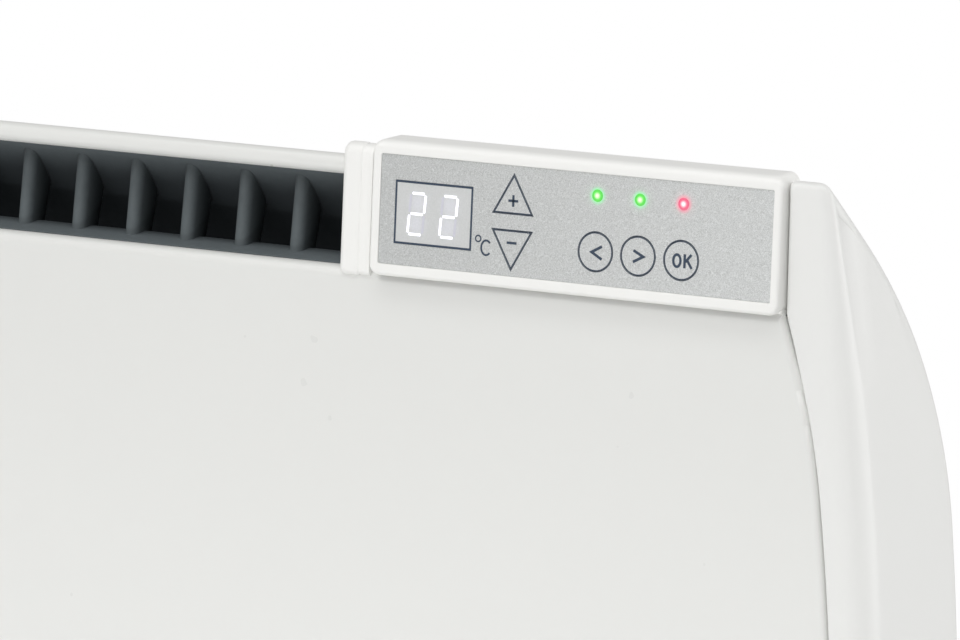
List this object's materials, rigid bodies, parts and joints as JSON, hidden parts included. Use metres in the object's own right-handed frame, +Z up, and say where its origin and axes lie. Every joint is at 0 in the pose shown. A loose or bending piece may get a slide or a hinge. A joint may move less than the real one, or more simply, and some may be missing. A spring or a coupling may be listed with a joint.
{
  "type": "wall panel convector heater",
  "caption": "Wall-hung panel convector with a front air outlet slot, bowed end caps and a plug-in digital thermostat with display, lamps and keys, tilting forward on its wall bracket.",
  "frame": {"origin": "on the wall, in the middle of the wall bracket's four screw holes, which is also the middle of the heater's length and body height", "axes": "+X to the viewer's right along the heater, +Y into the wall, +Z up; the heater's front looks along -Y"},
  "size_m": [0.72, 0.0874, 0.3688],
  "materials": {
    "white_steel": "fine satin powder coat, faint orange peel",
    "white_plastic": "moulded ABS, satin",
    "dark_steel": "matt black stove enamel",
    "zinc_steel": "zinc-plated sheet",
    "aluminium": "plain extruded",
    "sheath_steel": "heat-tinted sheath",
    "ceramic": "unglazed ceramic",
    "silver_film": "silver print with fine sparkle under clear film",
    "pane": "tinted window, satin",
    "segment_lit": "white light pipe, lit",
    "segment_dark": "white light pipe, unlit",
    "lamp_green": "green indicator lamp",
    "lamp_red": "red indicator lamp",
    "board": "solder-masked laminate",
    "black_plastic": "moulded",
    "display_body": "grey display face",
    "contact_brass": "plain",
    "relay_blue": "moulded",
    "lead": "silicone insulation",
    "screw_steel": "bright zinc",
    "spring_steel": "spring temper"
  },
  "bodies": {
    "wall_bracket": {"wall_bracket": "zinc_steel", "spring_clips": "spring_steel", "clip_rivets": "screw_steel"},
    "heater": {"front_panel": "white_steel", "rear_casing": "white_steel", "right_end_cap": "white_plastic", "left_end_cap": "white_plastic", "right_end_plate": "zinc_steel", "left_end_plate": "zinc_steel", "outlet_grille": "dark_steel", "thermostat_cradle": "white_plastic", "cradle_socket": "black_plastic", "heat_shield": "aluminium", "element_body": "aluminium", "element_rod": "sheath_steel", "element_bushes": "ceramic", "left_element_bracket": "zinc_steel", "right_element_bracket": "zinc_steel", "thermal_cutout": "ceramic", "cutout_bracket": "zinc_steel", "terminal_block": "ceramic", "cable_gland": "black_plastic", "wiring_loom": "lead", "sensor_holder": "white_plastic", "room_sensor": "black_plastic", "hanger_brackets": "zinc_steel", "hanger_pins": "screw_steel", "casing_screws": "screw_steel", "cap_screws": "screw_steel", "cradle_screws": "screw_steel"},
    "thermostat": {"bezel_shell": "white_plastic", "back_shell": "white_plastic", "label_film": "silver_film", "display_window": "pane", "digit_display": "display_body", "segments_lit": "segment_lit", "segments_dark": "segment_dark", "green_lamps": "lamp_green", "red_lamp": "lamp_red", "circuit_board": "board", "tact_switches": "black_plastic", "relay": "relay_blue", "mains_capacitor": "relay_blue", "contact_blades": "contact_brass", "module_screws": "screw_steel"},
    "key_up": {"key_up": "silver_film"},
    "key_down": {"key_down": "silver_film"},
    "key_left": {"key_left": "silver_film"},
    "key_right": {"key_right": "silver_film"},
    "key_ok": {"key_ok": "silver_film"}
  },
  "joints": [
    {"name": "heater_tilt", "type": "hinge", "parent": "wall_bracket", "child": "heater", "pos_m": [0, -0.012, -0.056], "axis": [1, 0, 0], "range_deg": [0, 12]},
    {"name": "thermostat_pull", "type": "slide", "parent": "heater", "child": "thermostat", "axis": [0, -0.997, 0.0774], "range_m": [0, 0.035]},
    {"name": "key_up_press", "type": "slide", "parent": "thermostat", "child": "key_up", "axis": [0, 0.997, -0.0774], "range_m": [0, 0.0004], "stiffness_N_per_m": 2500},
    {"name": "key_down_press", "type": "slide", "parent": "thermostat", "child": "key_down", "axis": [0, 0.997, -0.0774], "range_m": [0, 0.0004], "stiffness_N_per_m": 2500},
    {"name": "key_left_press", "type": "slide", "parent": "thermostat", "child": "key_left", "axis": [0, 0.997, -0.0774], "range_m": [0, 0.0004], "stiffness_N_per_m": 2500},
    {"name": "key_right_press", "type": "slide", "parent": "thermostat", "child": "key_right", "axis": [0, 0.997, -0.0774], "range_m": [0, 0.0004], "stiffness_N_per_m": 2500},
    {"name": "key_ok_press", "type": "slide", "parent": "thermostat", "child": "key_ok", "axis": [0, 0.997, -0.0774], "range_m": [0, 0.0004], "stiffness_N_per_m": 2500}
  ]
}
